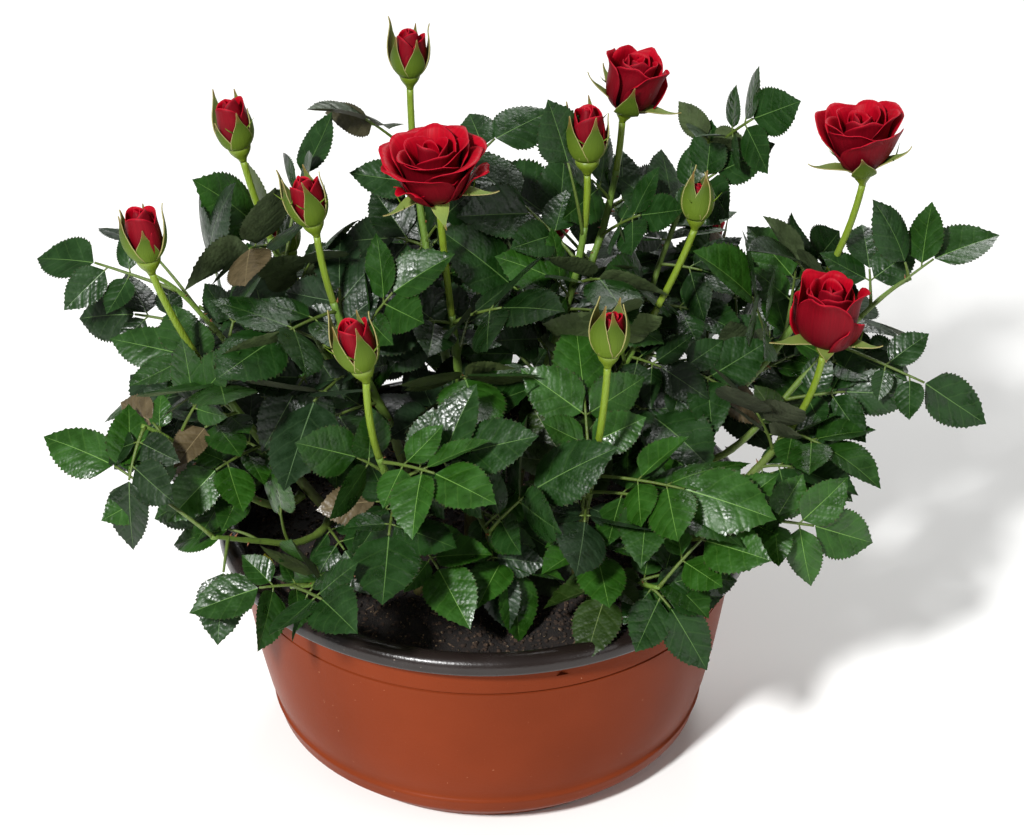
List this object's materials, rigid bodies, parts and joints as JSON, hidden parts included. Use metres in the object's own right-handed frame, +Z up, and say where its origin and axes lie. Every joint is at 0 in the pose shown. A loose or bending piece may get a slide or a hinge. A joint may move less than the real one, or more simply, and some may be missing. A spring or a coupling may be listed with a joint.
{
  "type": "potted rose bush",
  "caption": "Bushy patio rose with open red roses and buds on upright canes, dense dark foliage, in a wide round two-tone plastic planting bowl.",
  "frame": {"origin": "centre of the bowl's flat underside, on the ground plane", "axes": "+Z up along the bowl's axis, +X to the right and +Y to the back of the plant as the camera saw it"},
  "size_m": [0.4685, 0.3685, 0.354],
  "materials": {
    "bowl_plastic": "satin",
    "rim_plastic": "satin",
    "potting_soil": "matte",
    "cane_bark": "satin",
    "foliage": "satin",
    "bloom": "matte"
  },
  "bodies": {
    "root": {"bowl": "bowl_plastic", "rim": "rim_plastic", "soil": "potting_soil", "cane_top": "cane_bark", "cane_upper_left": "cane_bark", "cane_centre": "cane_bark", "cane_mid_left": "cane_bark", "cane_left": "cane_bark", "cane_upper_right": "cane_bark", "cane_mid_right": "cane_bark", "cane_right_inner": "cane_bark", "cane_front_right": "cane_bark", "cane_front_left": "cane_bark", "cane_right": "cane_bark", "cane_right_low": "cane_bark", "cane_rear_left": "cane_bark", "cane_rear": "cane_bark", "cane_rear_right": "cane_bark", "leaves_top": "foliage", "leaves_upper_left": "foliage", "leaves_centre": "foliage", "leaves_mid_left": "foliage", "leaves_left": "foliage", "leaves_upper_right": "foliage", "leaves_mid_right": "foliage", "leaves_right_inner": "foliage", "leaves_front_right": "foliage", "leaves_front_left": "foliage", "leaves_right": "foliage", "leaves_right_low": "foliage", "leaves_rear_left": "foliage", "leaves_rear": "foliage", "leaves_rear_right": "foliage", "leaves_wing_upper_left": "foliage", "leaves_wing_left": "foliage", "leaves_wing_low_left": "foliage", "leaves_skirt_front_left": "foliage", "leaves_skirt_front": "foliage", "leaves_skirt_front_right": "foliage", "leaves_wing_low_right": "foliage", "leaves_wing_right": "foliage", "leaves_crest_right": "foliage", "leaves_wing_rear_left": "foliage", "leaves_wing_rear_right": "foliage", "leaves_skirt_rear": "foliage", "bud_top": "bloom", "bud_upper_left": "bloom", "rose_centre": "bloom", "bud_mid_left": "bloom", "bud_left": "bloom", "rose_upper_right": "bloom", "bud_mid_right": "bloom", "bud_right_inner": "bloom", "bud_front_right": "bloom", "bud_front_left": "bloom", "rose_right": "bloom", "rose_right_low": "bloom", "bud_rear_left": "bloom", "rose_rear": "bloom", "bud_rear_right": "bloom"}
  },
  "joints": []
}
